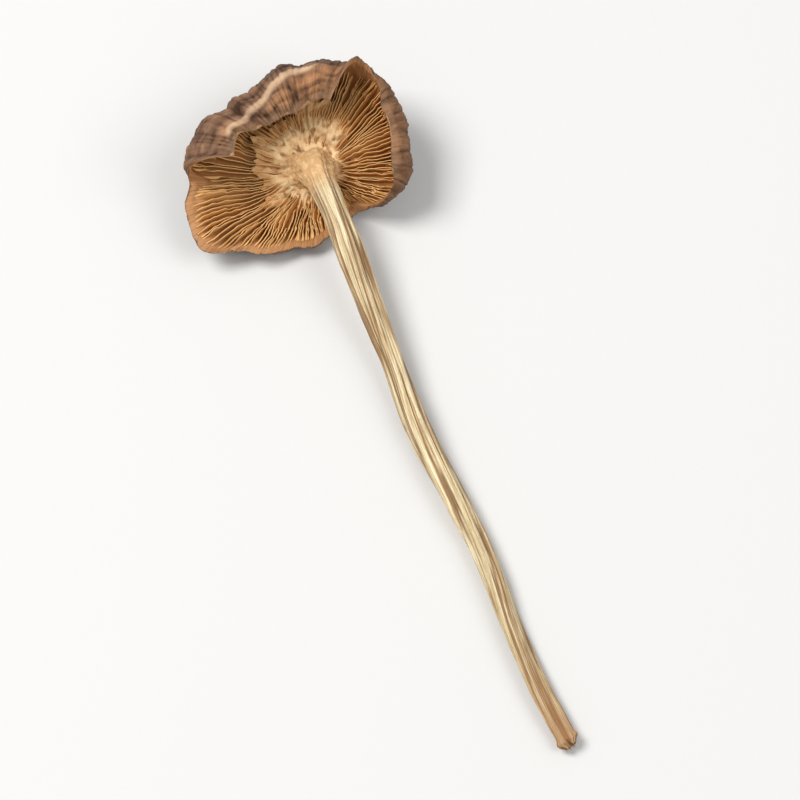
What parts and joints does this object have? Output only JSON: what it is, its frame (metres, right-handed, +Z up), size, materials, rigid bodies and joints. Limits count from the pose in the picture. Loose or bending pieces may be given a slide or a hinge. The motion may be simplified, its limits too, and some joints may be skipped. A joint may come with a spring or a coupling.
{
  "type": "dried tea tree mushroom",
  "caption": "dried gilled mushroom lying gill side up: puckered brown cap with a rolled margin, torn pale ring and a long fluted bent stem",
  "frame": {"origin": "on the surface that the mushroom lies on, under the middle of its bounding box", "axes": "+Y from the stem's foot to the cap, along the mushroom; +Z up out of the surface, on the gill side; +X to the right of them"},
  "size_m": [0.0247, 0.0779, 0.0117],
  "materials": {
    "cap_skin": "matte",
    "veil_skin": "matte",
    "stem_skin": "matte"
  },
  "bodies": {
    "root": {"cap": "cap_skin", "veil": "veil_skin", "stem": "stem_skin"}
  },
  "joints": []
}
